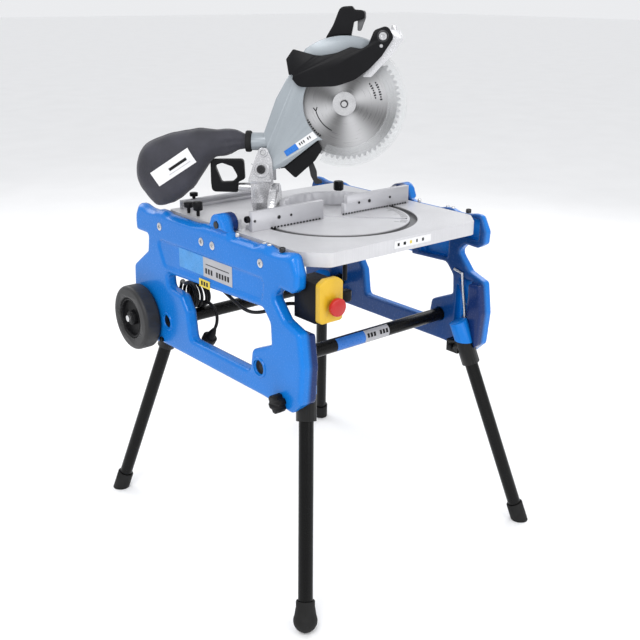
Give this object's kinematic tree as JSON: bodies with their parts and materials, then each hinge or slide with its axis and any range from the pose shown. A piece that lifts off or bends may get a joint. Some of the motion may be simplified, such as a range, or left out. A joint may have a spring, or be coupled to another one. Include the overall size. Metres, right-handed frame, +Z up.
{
  "type": "mitre saw on stand",
  "caption": "Mitre saw on a wheeled stand: raised saw head with dust bag on a turntable and flip-over table, ribbed side frames and splayed legs.",
  "frame": {"origin": "on the floor, under the middle of the object's bounding box", "axes": "+X to the right of a person standing at the front, +Y to the back where the wheels are, +Z up"},
  "size_m": [0.754, 0.8405, 1.2515],
  "materials": {
    "frame_paint": "gloss",
    "black_tube": "satin",
    "black_plastic": "matt",
    "rubber": "matt",
    "tyre": "matt",
    "steel": "brushed",
    "cast_aluminium": "satin",
    "cover_paint": "satin",
    "blade_steel": "ground",
    "clear_plastic": "clear",
    "yellow_plastic": "gloss",
    "red_plastic": "gloss",
    "bag_fabric": "woven",
    "cord_rubber": "satin"
  },
  "bodies": {
    "stand": {"side_frame_left": "frame_paint", "side_frame_right": "frame_paint", "cross_tube_front": "black_tube", "cross_tube_rear": "black_tube", "frame_inserts": "steel", "wheel_axles": "steel", "trunnion_pins": "steel", "switch_box": "black_plastic", "switch_cover": "yellow_plastic", "cord_gland": "cord_rubber", "cord_run": "cord_rubber", "cord_hank": "cord_rubber", "cord_tail": "cord_rubber", "mains_plug": "cord_rubber", "hex_key": "steel", "leg_socket_front_left": "black_plastic", "leg_socket_rear_left": "black_plastic", "leg_socket_front_right": "black_plastic", "leg_socket_rear_right": "black_plastic"},
    "table": {"table_plate": "cast_aluminium", "fence": "cast_aluminium", "fence_screws": "steel", "rear_bar": "cast_aluminium", "thumb_screws": "black_plastic"},
    "table_lock": {"table_lock_knob": "black_plastic"},
    "turntable": {"turntable_disc": "cast_aluminium", "bevel_support": "cast_aluminium"},
    "swing_arm": {"swing_arm": "cast_aluminium", "pivot_pin": "steel"},
    "bevel_lock": {"bevel_shaft": "steel", "bevel_handle": "black_plastic"},
    "head": {"head_cover": "cover_paint", "motor_housing": "black_plastic", "main_handle": "black_plastic", "front_bracket": "cast_aluminium", "deflector": "black_plastic", "riving_knife": "black_plastic", "dust_bag": "bag_fabric"},
    "trigger": {"trigger": "black_plastic"},
    "blade": {"saw_blade": "blade_steel", "arbor": "steel"},
    "lower_guard": {"lower_guard": "clear_plastic"},
    "guard_arm": {"guard_arm": "black_plastic"},
    "stop_button": {"stop_button": "red_plastic"},
    "leg_front_left": {"leg_tube_front_left": "black_tube"},
    "foot_front_left": {"leg_foot_front_left": "rubber"},
    "knob_front_left": {"leg_knob_front_left": "black_plastic"},
    "leg_rear_left": {"leg_tube_rear_left": "black_tube", "leg_foot_rear_left": "rubber"},
    "knob_rear_left": {"leg_knob_rear_left": "black_plastic"},
    "leg_front_right": {"leg_tube_front_right": "black_tube", "leg_foot_front_right": "rubber"},
    "knob_front_right": {"leg_knob_front_right": "black_plastic"},
    "leg_rear_right": {"leg_tube_rear_right": "black_tube", "leg_foot_rear_right": "rubber"},
    "knob_rear_right": {"leg_knob_rear_right": "black_plastic"},
    "wheel_left": {"wheel_tyre_left": "tyre", "wheel_hub_left": "black_plastic"},
    "wheel_right": {"wheel_tyre_right": "tyre", "wheel_hub_right": "black_plastic"}
  },
  "joints": [
    {"name": "table_flip", "type": "hinge", "parent": "stand", "child": "table", "pos_m": [0, -0.01474, 0.802], "axis": [-1, 0, 0], "range_deg": [0, 90]},
    {"name": "table_lock_turn", "type": "hinge", "parent": "table", "child": "table_lock", "pos_m": [-0.15, -0.27474, 0.68], "axis": [0, 0, 1], "continuous": true},
    {"name": "mitre", "type": "hinge", "parent": "table", "child": "turntable", "pos_m": [0, -0.07024, 0.788], "axis": [0, 0, 1], "range_deg": [-90, 0]},
    {"name": "bevel", "type": "hinge", "parent": "turntable", "child": "swing_arm", "pos_m": [-0.11314, 0.0429, 0.788], "axis": [-0.7071, 0.7071, 0], "range_deg": [-45, 0], "deforming": ["dust_bag"]},
    {"name": "bevel_lock_turn", "type": "hinge", "parent": "swing_arm", "child": "bevel_lock", "pos_m": [-0.14849, 0.07825, 0.852], "axis": [0.7071, -0.7071, 0], "range_deg": [0, 35]},
    {"name": "chop", "type": "hinge", "parent": "swing_arm", "child": "head", "pos_m": [-0.11879, 0.04855, 0.9], "axis": [0.7071, 0.7071, 0], "range_deg": [0, 44.4], "stiffness_Nm_per_rad": 8, "springref_deg": -143.24},
    {"name": "trigger_pull", "type": "hinge", "parent": "head", "child": "trigger", "pos_m": [0.05091, -0.09004, 1.236], "axis": [0.7071, 0.7071, 0], "range_deg": [0, 8], "stiffness_Nm_per_rad": 0.5, "springref_deg": -5.73},
    {"name": "blade_spin", "type": "hinge", "parent": "head", "child": "blade", "pos_m": [0.01202, -0.08226, 1.046], "axis": [0.7071, 0.7071, 0], "continuous": true},
    {"name": "guard_swing", "type": "hinge", "parent": "head", "child": "lower_guard", "pos_m": [0.01202, -0.08226, 1.046], "axis": [0.7071, 0.7071, 0], "range_deg": [-126.2, 0]},
    {"name": "guard_arm_swing", "type": "hinge", "parent": "head", "child": "guard_arm", "pos_m": [0.04525, -0.16499, 1.192], "axis": [0.7071, 0.7071, 0], "range_deg": [0, 25]},
    {"name": "stop_press", "type": "slide", "parent": "stand", "child": "stop_button", "axis": [0, 1, 0], "range_m": [0, 0.006], "stiffness_N_per_m": 800, "springref_m": -0.001},
    {"name": "leg_pull_front_left", "type": "slide", "parent": "stand", "child": "leg_front_left", "axis": [-0.2117, -0.2557, -0.9433], "range_m": [0, 0.09]},
    {"name": "foot_turn_front_left", "type": "hinge", "parent": "leg_front_left", "child": "foot_front_left", "pos_m": [-0.34541, -0.38645, 0.04716], "axis": [0.2117, 0.2557, 0.9433], "continuous": true},
    {"name": "knob_turn_front_left", "type": "hinge", "parent": "stand", "child": "knob_front_left", "pos_m": [-0.29, -0.24099, 0.462], "axis": [-1, 0, 0], "continuous": true},
    {"name": "leg_pull_rear_left", "type": "slide", "parent": "stand", "child": "leg_rear_left", "axis": [-0.2117, 0.2557, -0.9433], "range_m": [0, 0.09]},
    {"name": "knob_turn_rear_left", "type": "hinge", "parent": "stand", "child": "knob_rear_left", "pos_m": [-0.29, 0.24051, 0.462], "axis": [-1, 0, 0], "continuous": true},
    {"name": "leg_pull_front_right", "type": "slide", "parent": "stand", "child": "leg_front_right", "axis": [0.2117, -0.2557, -0.9433], "range_m": [0, 0.09]},
    {"name": "knob_turn_front_right", "type": "hinge", "parent": "stand", "child": "knob_front_right", "pos_m": [0.29, -0.24099, 0.462], "axis": [1, 0, 0], "continuous": true},
    {"name": "leg_pull_rear_right", "type": "slide", "parent": "stand", "child": "leg_rear_right", "axis": [0.2117, 0.2557, -0.9433], "range_m": [0, 0.09]},
    {"name": "knob_turn_rear_right", "type": "hinge", "parent": "stand", "child": "knob_rear_right", "pos_m": [0.29, 0.24051, 0.462], "axis": [1, 0, 0], "continuous": true},
    {"name": "wheel_spin_left", "type": "hinge", "parent": "stand", "child": "wheel_left", "pos_m": [-0.32, 0.31426, 0.508], "axis": [1, 0, 0], "continuous": true},
    {"name": "wheel_spin_right", "type": "hinge", "parent": "stand", "child": "wheel_right", "pos_m": [0.32, 0.31426, 0.508], "axis": [1, 0, 0], "continuous": true}
  ],
  "couplings": [
    {"joint": "guard_swing", "follows": "chop", "ratio": -2.84}
  ]
}
